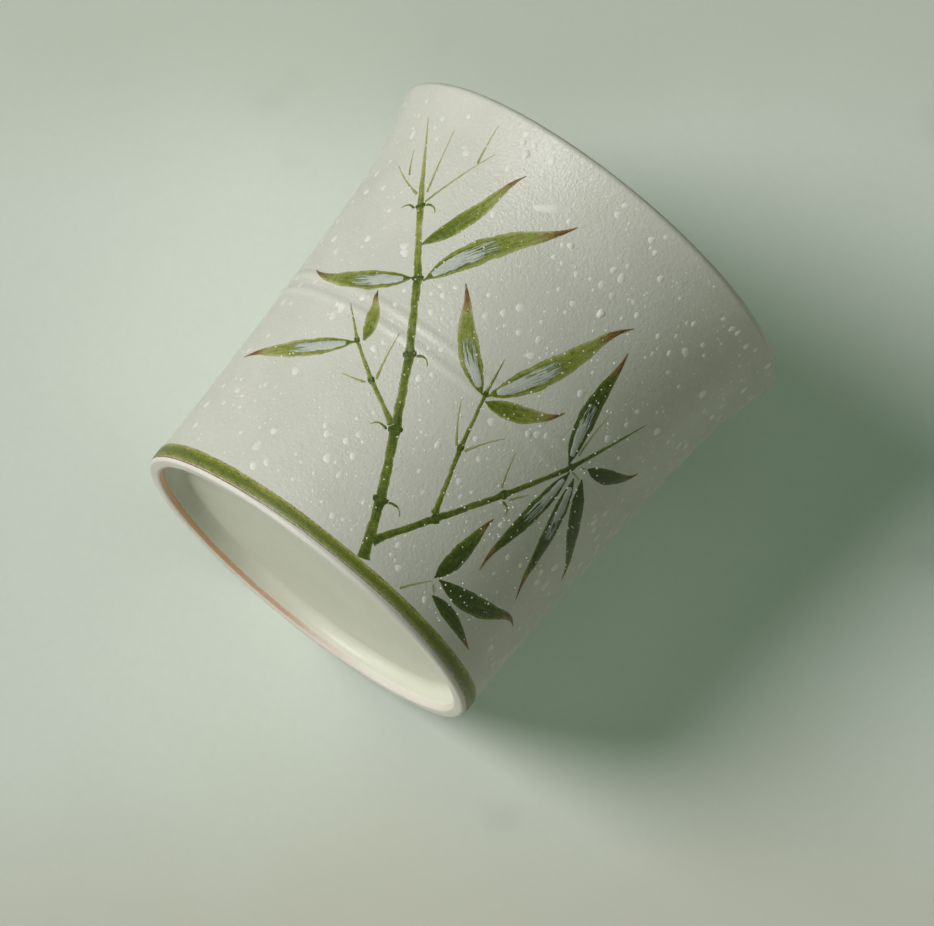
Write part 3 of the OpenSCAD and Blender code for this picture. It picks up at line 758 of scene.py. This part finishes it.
class Strokes:
    """Gathers the strokes of one node into one mesh."""

    def __init__(self):
        self.verts, self.faces, self.count = [], [], 0
        self.data = {"brush": [], "edge": [], "tone": [], "fade": []}

    def add(self, a, b, half, seed, bow=0.0, curl=0.0, *, tone, cols, rough,
            span=(0.0, 1.0), fade=None, rise=0.6 * ENAMEL_T):
        """A stroke from a to b, laid over a span of its whole way.

        half gives its half width and fade its cover at shares of the whole way. tone is a run of tones
        over the span, with 0 the deepest, and rough is how far the edges wander.
        """
        face = (a[0] + b[0]) / 2
        flat_a, flat_b = flat_place(a, face), flat_place(b, face)
        length = float(np.linalg.norm(flat_b - flat_a)) * (span[1] - span[0])
        rows = max(8, int(length / ROW_PITCH))
        s = np.linspace(span[0], span[1], rows)
        spine, ahead, behind = (
            middle_line(flat_a, flat_b, bow, curl, s + off) for off in (0, 0.01, -0.01)
        )
        step = ahead - behind
        step /= np.linalg.norm(step, axis=1)[:, None]
        side = np.stack([-step[:, 1], step[:, 0]], -1)
        share = (s - span[0]) / (span[1] - span[0])
        along = share * length
        width = np.asarray(half(s), float)
        v = np.linspace(-1, 1, cols)
        lower, upper = (
            width * (1 + rough * wave(along * 1.1, k)) + 0.25 * rough * wave(along * 4, k + 1)
            for k in (seed, seed + 2)
        )
        reach = np.maximum(np.where(v < 0, lower[:, None], upper[:, None]), LEAST_HALF)
        flat = spine[:, None] + side[:, None] * (v * reach)[..., None]
        z = flat[..., 1]
        turn = face + np.degrees(np.arcsin(np.clip(flat[..., 0] / wall_r(z), -1, 1)))
        INKED.update(cell(*at) for at in zip(turn.ravel(), z.ravel()))
        ends = np.clip(np.minimum(along, length - along) / END_ROUNDING, 0, 1)[:, None]
        dome = (1 - v ** 2) * ends
        top = skin(turn, z, (rise + LET_IN) * dome - LET_IN)
        under = skin(turn, z, -STROKE_UNDER)
        n = rows * cols
        self.verts += [top.reshape(-1, 3), under.reshape(-1, 3)]
        i, j = np.meshgrid(np.arange(rows - 1), np.arange(cols - 1), indexing="ij")
        q = (i * cols + j).ravel() + self.count
        self.faces += np.stack([q, q + 1, q + cols + 1, q + cols], -1).tolist()
        self.faces += (np.stack([q, q + cols, q + cols + 1, q + 1], -1) + n).tolist()
        border = np.concatenate([
            np.arange(cols), np.arange(1, rows) * cols + cols - 1,
            (rows - 1) * cols + np.arange(cols - 2, -1, -1), np.arange(rows - 2, 0, -1) * cols,
        ]) + self.count
        after = np.roll(border, -1)
        self.faces += np.stack([after, border, border + n, after + n], -1).tolist()
        self.count += 2 * n
        full = np.ones((rows, cols))
        tones = np.interp(share, np.linspace(0, 1, len(tone)), tone)
        own_place = seed * 3.7 % 97
        values = {
            "brush": np.stack([along[:, None] * full, v * width[:, None], full * own_place], -1),
            "edge": np.abs(v) * full,
            "tone": tones[:, None] * full,
            "fade": (np.ones(rows) if fade is None else fade(s))[:, None] * full,
        }
        for key, value in values.items():
            flat_value = value.reshape(n, -1) if key == "brush" else value.ravel()
            self.data[key] += [flat_value, flat_value]

    def piece(self, name, material, slot):
        data = {key: np.concatenate(value) for key, value in self.data.items()}
        make_piece(name, np.concatenate(self.verts), self.faces, material, [name], data=data)


def taper(wide, narrow):
    """The half width of a stroke that runs evenly from one width to another."""
    return lambda s: (wide + (narrow - wide) * s) / 2


def along_culm(strokes, places, w0, thin, seed, root, tones):
    """The strokes of a culm between its joints, run a little under them, and its drawn-out end.

    root is how far the first stroke runs back past its start, as a share of its length.
    """
    last = len(places) - 2
    for k in range(last):
        wa, wb = (w0 * (1 + (thin - 1) * i / last) / 2 for i in (k, k + 1))
        strokes.add(
            places[k], places[k + 1],
            lambda s, wa=wa, wb=wb: (wa + (wb - wa) * s) * (0.9 + 0.24 * np.abs(2 * s - 1) ** 5),
            seed + 10 * k, span=(-0.02 if k else -root, 1.02), tone=tones[k], cols=9, rough=0.1,
        )
    strokes.add(
        places[-2], places[-1], taper(w0 * thin, FINE_W), seed + 10 * last,
        tone=tones[last], fade=lambda s: 1.05 - 0.75 * np.abs(s) ** 3, cols=7, rough=0.1,
    )


for name, places, w0, thin, seed, root, tones in (
    ("main_culm", MAIN, CULM_W, CULM_THIN, 100, 0.07, (
        (0.1, 0.25, 0.3, 0.2, 0.02), (0.05, 0.28, 0.34, 0.3, 0.05), (0.05, 0.32, 0.38, 0.34, 0.08),
        (0.1, 0.36, 0.42, 0.4, 0.15), (0.2, 0.52, 0.66, 0.66, 0.35), (0.45, 0.8, 0.95, 1.05),
    )),
    ("side_culm", SIDE, SIDE_W, CULM_THIN, 200, 0.1, (
        (0.12, 0.28, 0.1), (0.1, 0.3, 0.15), (0.15, 0.3, 0.1), (0.1, 0.3, 0.5),
    )),
    ("upright_shoot", UPRIGHT, SHOOT_W, SHOOT_THIN, 300, 0.1, (
        (0.35, 0.5, 0.3), (0.35, 0.5, 0.3), (0.4, 0.6),
    )),
    ("left_shoot", LEFT, SHOOT_W, SHOOT_THIN, 400, 0.13, (
        (0.4, 0.6, 0.45), (0.45, 0.65, 0.5), (0.6, 0.85),
    )),
):
    strokes = Strokes()
    along_culm(strokes, places, w0, thin, seed, root, tones)
    strokes.piece(name, green, "green_enamel")

# How far a joint's stroke reaches across, as a share of the culm's width there
JOINT_REACH = 1.32
joints = Strokes()
for group, (places, w0, thin) in enumerate((
    (MAIN, CULM_W, CULM_THIN), (SIDE, SIDE_W, CULM_THIN),
    (UPRIGHT, SHOOT_W, SHOOT_THIN), (LEFT, SHOOT_W, SHOOT_THIN),
)):
    last = len(places) - 2
    for k in range(1, last + 1):
        width = w0 * (1 + (thin - 1) * k / last) * JOINT_REACH
        before, place, after = places[k - 1:k + 2]
        run = flat_place(after, place[0]) - flat_place(before, place[0])
        across = np.array([-run[1], run[0]]) / np.linalg.norm(run) * width / 2
        z = place[1] * CUP_H
        ends = []
        for way in (1, -1):
            end_z = z + way * across[1]
            turn = place[0] + math.degrees(math.asin(way * across[0] / float(wall_r(end_z))))
            ends.append((turn, end_z / CUP_H))
        joints.add(
            ends[0], ends[1], lambda s: JOINT_H * (0.65 + 0.75 * np.sin(np.pi * s)),
            500 + 20 * group + k, bow=0.05, tone=(0.1, 0.3, 0.1), rise=0.08, cols=9, rough=0.35,
        )
joints.piece("culm_joints", dark_green, "dark_green_enamel")

hooks = Strokes()
for k, (a, b, bow) in enumerate(HOOKS):
    hooks.add(a, b, taper(HOOK_W, FINE_W), 600 + 5 * k, bow=bow, span=(-0.12, 1), tone=(0.25, 0.5, 0.7),
              fade=lambda s: 1.0 - 0.35 * s ** 2, rise=0.05, cols=5, rough=0.15)
hooks.piece("joint_hooks", green, "dark_green_enamel")

twigs = Strokes()
for k, (a, b) in enumerate(TWIGS):
    twigs.add(a, b, taper(TWIG_W, FINE_W), 700 + 5 * k, bow=0.03, span=(-0.05, 1),
              tone=(0.3, 0.5, 0.65, 0.8), fade=lambda s: 1.05 - 0.6 * np.abs(s) ** 1.6,
              rise=0.04, cols=5, rough=0.15)
twigs.piece("twigs", twig_green, "pale_green_enamel")


def leaf_half(wide):
    """The half width of a leaf: a stem, a belly near the middle, and a fine point."""
    def half(s):
        s = np.clip(s, 0, 1)
        full = np.sin(np.pi * s ** 0.75) * (1 - s) ** 0.25 * 1.15
        return (STEM_W + (FINE_W - STEM_W) * s) / 2 + (LEAF_W - STEM_W) / 2 * wide * full
    return half


def fade_out(start, run):
    """Full cover that dries off to almost none over a run of the way."""
    return lambda s: 1.1 - np.clip((s - start) / run, 0, 1) * 0.95


def tip_fade(s):
    """Cover that grows towards the leaf's point, and thins out on the point itself."""
    return np.clip((s - 0.7) / 0.2, 0, 1.05) - 0.3 * np.clip((s - 0.95) / 0.05, 0, 1)


# Each node's leaves, which of them carry pale strokes, and their tones from base to tip
tips, lights = Strokes(), Strokes()
for group, (name, leaves, lit, tone) in enumerate((
    ("crown_leaves", CROWN, (0, 1), (0.22, 0.36, 0.6, 0.9)),
    ("middle_leaves", MIDDLE, (0, 1), (0.26, 0.4, 0.62, 0.95)),
    ("hanging_leaves", HANGING, (0, 1, 3), (-0.12, -0.06, 0.06, 0.24)),
    ("left_leaves", LEFT_LEAVES, (0,), (0.3, 0.5, 0.7, 0.95)),
    ("low_leaves", LOW, (), (-0.08, 0.0, 0.12, 0.3)),
)):
    strokes = Strokes()
    for k, (a, b, bow, curl, wide) in enumerate(leaves):
        seed = 1000 + 100 * group + 10 * k
        shape = leaf_half(wide)
        strokes.add(a, b, shape, seed, bow, curl, span=(-0.03, 0.93), tone=tone,
                    fade=fade_out(0.76, 0.17), cols=15, rough=0.05)
        tips.add(a, b, shape, seed + 4, bow, curl, span=(0.7, 1), tone=(1.0, 0.7, 0.25, 0.2, 0.65),
                 fade=tip_fade, rise=0.66 * ENAMEL_T, cols=7, rough=0.05)
        if k in lit:
            lights.add(a, b, lambda s, shape=shape: shape(s) * 0.7, seed + 7, bow, curl,
                       span=(0.03, 0.5), tone=(0.7, 0.85, 0.7, 0.45), fade=fade_out(0.14, 0.36),
                       rise=0.6 * ENAMEL_T + LIGHT_T, cols=11, rough=0.08)
    strokes.piece(name, leaf_green, "leaf_enamel")
tips.piece("leaf_tips", tip_brown, "brown_enamel")
lights.piece("leaf_lights", pale_blue, "pale_blue_enamel")


# Water drops on the outside of the wall

# Larger drops given one by one: turn, height, half width, how many times longer than wide, how the
# longer way lies in degrees, and thickness
BEADS = [
    (-12.5, 58.8, 0.6, 4.4, 30, 0.14), (-27.9, 64.5, 0.45, 1.1, 80, 0.2),
    (-25.6, 63.3, 0.6, 1.15, -60, 0.24), (15.1, 52.0, 0.6, 1.25, 80, 0.26),
    (-2.2, 56.5, 0.5, 1.1, 20, 0.2),
]
DROP_COUNT, DROP_SEED, DROP_GAP = 3150, 5, 0.1
# Half widths below which a drop is tiny or small, and the share of drops that aren't tiny
TINY, SMALL, LARGE_SHARE = 0.2, 0.4, 0.3
# The share of drops that stay at a turn: the left side is drier
WET = ((-110, 0.4), (-80, 0.4), (-45, 1), (180, 1))
# How far a drop's edge and its underside lie in the glaze
DROP_LET_IN, DROP_UNDER = 0.01, 0.06
WALL_MEAN_R = 31


def scatter(draw):
    """All drops, as in BEADS. Larger ones keep off the strokes, and none touches another."""
    taken = [(math.radians(turn) * WALL_MEAN_R, z, size * long) for turn, z, size, long, _, _ in BEADS]
    beads = list(BEADS)
    while len(beads) < DROP_COUNT:
        turn, z = draw.uniform(-180, 180), draw.uniform(4.2, CUP_H - 1.6)
        size = 0.09 + 0.10 * draw.random()
        if draw.random() < LARGE_SHARE:
            size += 0.12 + 0.40 * draw.random() ** 1.6
        x = math.radians(turn) * WALL_MEAN_R
        if draw.random() > along_table(turn, WET):
            continue
        if any(
            abs(x - u) < size + w + DROP_GAP and math.hypot(x - u, z - t) < size + w + DROP_GAP
            for u, t, w in taken
        ):
            continue
        at = cell(turn, z)
        inked = any((at[0] + u, at[1] + t) in INKED for u in (-1, 0, 1) for t in (-1, 0, 1))
        if size > TINY and inked:
            continue
        taken.append((x, z, size))
        long = 1 + 0.5 * draw.random() ** 2
        flat = draw.uniform(0.13, 0.24) + (0.15 if size < TINY else 0)
        lie = draw.uniform(0, 180)
        beads.append((turn, z, size, long, lie, size * flat + (ENAMEL_T if inked else 0)))
    return beads


def drop_mesh(bead, phase, base):
    """Points and faces of one closed drop, whose first point is number base in the whole mesh."""
    turn, z, size, long, lie, tall = bead
    around, rings = (6, 2) if size < TINY else (10, 3) if size < SMALL else (16, 4)
    angle = np.linspace(0, 2 * np.pi, around, endpoint=False)
    way = angle - math.radians(lie)
    reach = size / np.hypot(np.cos(way) / long, np.sin(way))
    reach = reach * (1 + 0.08 * np.sin(3 * angle + phase) + 0.04 * np.sin(5 * angle + 2 * phase))
    under_x, under_z = reach * 0.9 * np.cos(angle), z + reach * 0.9 * np.sin(angle)
    points = [skin(turn + np.degrees(under_x / wall_r(z)), under_z, -DROP_UNDER)]
    for ring in range(rings):
        share = 1 - ring / rings
        height = tall * (1 - share ** 2) ** 0.75 - DROP_LET_IN
        up = z + reach * share * np.sin(angle)
        sideways = turn + np.degrees(reach * share * np.cos(angle) / wall_r(up))
        points.append(skin(sideways, up, height))
    points += [skin([turn], z, tall - DROP_LET_IN), skin([turn], z, -DROP_UNDER)]
    j = np.arange(around)
    k = (j + 1) % around
    faces = []
    for ring in range(rings):
        lower, upper = base + ring * around, base + (ring + 1) * around
        faces += np.stack([lower + j, lower + k, upper + k, upper + j], -1).tolist()
    last, top = base + rings * around, base + (rings + 1) * around
    faces += np.stack([last + j, last + k, np.full(around, top)], -1).tolist()
    faces += np.stack([base + k, base + j, np.full(around, top + 1)], -1).tolist()
    return np.concatenate(points), faces


def lay_drops():
    draw = random.Random(DROP_SEED)
    verts, faces, count = [], [], 0
    for bead in scatter(draw):
        points, new_faces = drop_mesh(bead, draw.uniform(0, 6.28), count)
        verts.append(points)
        faces += new_faces
        count += len(points)
    piece = make_piece("water_drops", np.concatenate(verts), faces, water(), [])
    piece.visible_shadow = False


lay_drops()


# The pale surface that the cup lies on, tilted so that foot and lip both touch it. It is seen from
# above alone, so that it doesn't hide the cup from below.

FLOOR_HALF, FLOOR_SQUARES, FLOOR_GAP = 1600.0, 80, 0.02
# Painted shade: away from the cup its tone turns warmer and a little darker, both ways along one
# line, where the light falls off
FLOOR_LINE, UPPER_DRIFT, LOWER_DRIFT = (-0.648, 0.066, 0.759), (60.0, 98.0), (-46.0, -10.0)
UPPER_SHADE_TINT, LOWER_SHADE_TINT = (0.90, 0.885, 0.855, 1), (0.925, 0.865, 0.82, 1)

touch_lean = math.atan2(float(plain_r(LIP_Z)) - float(wall_r(FOOT_ROUND)), LIP_Z - FOOT_ROUND)
floor_up = Vector((0, -math.cos(touch_lean), math.sin(touch_lean)))
outline = np.concatenate([outside(0, fine_zs), arc(LIP_CENTRE, LIP_R, -lip_degrees, 90, 12)])
furthest = (outline[:, 0] * math.cos(touch_lean) - outline[:, 1] * math.sin(touch_lean)).max()
touch = float(furthest) + FLOOR_GAP
floor_along = Vector((0, math.sin(touch_lean), math.cos(touch_lean)))
floor_origin = -floor_up * touch


def seen(s):
    """1 for what is seen, straight, in a gloss or through glass, and 0 for light on its way."""
    straight, gloss, through = (
        s.put("ShaderNodeLightPath", out=key)
        for key in ("Is Camera Ray", "Is Glossy Ray", "Is Transmission Ray")
    )
    return s.math("MAXIMUM", s.math("MAXIMUM", straight, gloss), through)


def lay_floor():
    n = FLOOR_SQUARES
    span = np.linspace(-1, 1, n + 1)
    span = np.sign(span) * np.abs(span) ** 1.6 * FLOOR_HALF
    across, along = np.meshgrid(span, span, indexing="ij")
    # Flat under the cup, and a little uneven further off
    uneven = np.sin(across / 61 + 1) * np.sin(along / 47) + 1
    low = -0.25 * uneven * np.clip(np.hypot(across, along) / 80 - 1, 0, 1)
    points = (
        np.array(floor_origin) + across[..., None] * (1, 0, 0)
        + along[..., None] * np.array(floor_along) + low[..., None] * np.array(floor_up)
    )
    mesh = bpy.data.meshes.new("floor")
    i, j = np.meshgrid(np.arange(n), np.arange(n), indexing="ij")
    q = (i * (n + 1) + j).ravel()
    quads = np.stack([q, q + n + 1, q + n + 2, q + 1], -1)
    mesh.from_pydata((points.reshape(-1, 3) * MM).tolist(), [], quads.tolist())
    mesh.shade_smooth()
    mesh.update()
    if mesh.polygons[0].normal.dot(floor_up) < 0:
        mesh.flip_normals()
    floor = add_object("floor", mesh)
    material, s = new_material("pale_floor")
    place = s.places()
    cloud = s.noise(place, 0.012, 3.0, 0.5)
    colour = s.mix(s.spread(cloud, 0.35, 0.7), (0.82, 0.86, 0.79, 1), (0.80, 0.835, 0.765, 1))
    line = s.put("ShaderNodeVectorMath", {0: place, 1: FLOOR_LINE}, out=1, operation="DOT_PRODUCT")
    drift = s.math("ADD", line, s.sway(s.noise(place, 0.02, 2.0, 0.5), 7.0))
    colour = s.mix(s.spread(drift, *UPPER_DRIFT), colour, UPPER_SHADE_TINT, "MULTIPLY")
    colour = s.mix(s.spread(drift, *LOWER_DRIFT, 1.0, 0.0), colour, LOWER_SHADE_TINT, "MULTIPLY")
    stain = s.noise(place, 0.05, 2.0, 0.4)
    colour = s.mix(s.spread(stain, 0.68, 0.8, 0.0, 0.35), colour, (0.60, 0.62, 0.55, 1))
    fine = s.noise(place, 0.9, 3.0, 0.6)
    colour = s.mix(s.spread(fine, 0.35, 0.75, 0.0, 0.08), colour, (0.62, 0.66, 0.58, 1))
    lit = s.put("ShaderNodeBsdfDiffuse", {"Color": colour, "Roughness": 0.6})
    # Painted light: a faint green glow on the surface where it is seen, which greens and lifts its
    # shade.
    # It adds no light to the cup
    painted_glow = s.math("MULTIPLY", seen(s), 0.02)
    tint = s.put("ShaderNodeEmission", {"Color": (0.0, 1.0, 0.7, 1), "Strength": painted_glow})
    lit = s.put("ShaderNodeAddShader", {0: lit, 1: tint})
    back = s.put("ShaderNodeNewGeometry", out=6)
    clear = s.put("ShaderNodeBsdfTransparent")
    s.end(s.put("ShaderNodeMixShader", {0: back, 1: lit, 2: clear}))
    mesh.materials.append(material)
    floor.visible_shadow = False


lay_floor()


# Camera: the photograph's angle, from below the foot, rolled so that the axis runs up to the right

CAM_RIGHT = Vector((0.777395, -0.138323, 0.613616))
CAM_UP = Vector((-0.629013, -0.170953, 0.758365))
CAM_BACK = Vector((0.0, -0.975521, -0.219905))
CAM_PLACE = Vector((6.640, -766.641, -143.060)) * MM
LENS, SENSOR = 207.75, 36.0

cam_data = bpy.data.cameras.new("camera")
cam_data.lens, cam_data.sensor_width = LENS, SENSOR
cam_data.clip_start, cam_data.clip_end = 0.05, 20.0
camera = add_object("camera", cam_data)
camera.matrix_world = Matrix((
    (CAM_RIGHT.x, CAM_UP.x, CAM_BACK.x, CAM_PLACE.x),
    (CAM_RIGHT.y, CAM_UP.y, CAM_BACK.y, CAM_PLACE.y),
    (CAM_RIGHT.z, CAM_UP.z, CAM_BACK.z, CAM_PLACE.z),
    (0, 0, 0, 1),
))
scene.camera = camera


# Lamps: a soft key and a low one from the photograph's left, one for the far side, and a faint one
# over the floor

CENTRE = Vector((0, 0, 34)) * MM


def lamp(name, way, distance, size, watts, colour):
    """A round area lamp that faces the cup's middle. Its distance and size are in metres."""
    data = bpy.data.lights.new(name, "AREA")
    data.shape, data.size, data.energy, data.color = "DISK", size, watts, colour
    made = add_object(name, data)
    way = way.normalized()
    made.location = CENTRE + way * distance
    made.rotation_mode = "QUATERNION"
    made.rotation_quaternion = way.to_track_quat("Z", "Y")
    made.visible_camera = False
    return made


KEY_WAY = -0.623 * CAM_RIGHT + 0.282 * CAM_UP + 0.730 * CAM_BACK
LOW_WAY = -0.968 * CAM_RIGHT - 0.147 * CAM_UP + 0.204 * CAM_BACK
SKY = (0.84, 1.0, 0.74)

lamp("key", KEY_WAY, 1.5, 0.68, 16.2, (1.0, 0.965, 1.0))
lamp("low_left", LOW_WAY, 0.9, 0.35, 1.55, (1.0, 0.99, 0.96))
lamp("far_side", -CAM_BACK, 1.3, 0.3, 4.5, (1.0, 1.0, 0.98)).visible_glossy = False
lamp("overhead", floor_up, 1.2, 0.9, 1.4, SKY).visible_glossy = False

# Ambient light, and the pale backdrop beyond the floor, which gives no light
world = bpy.data.worlds.new("world")
scene.world = world
w = Shading(world)
ambient = w.put("ShaderNodeBackground", {"Color": SKY + (1,), "Strength": 0.075})
backdrop = w.put("ShaderNodeBackground", {"Color": (0.50, 0.55, 0.47, 1), "Strength": 1.0})
sky = w.put("ShaderNodeMixShader", {0: seen(w), 1: ambient, 2: backdrop})
w.put("ShaderNodeOutputWorld", {"Surface": sky}, out=None)

scene.view_settings.view_transform = "Standard"
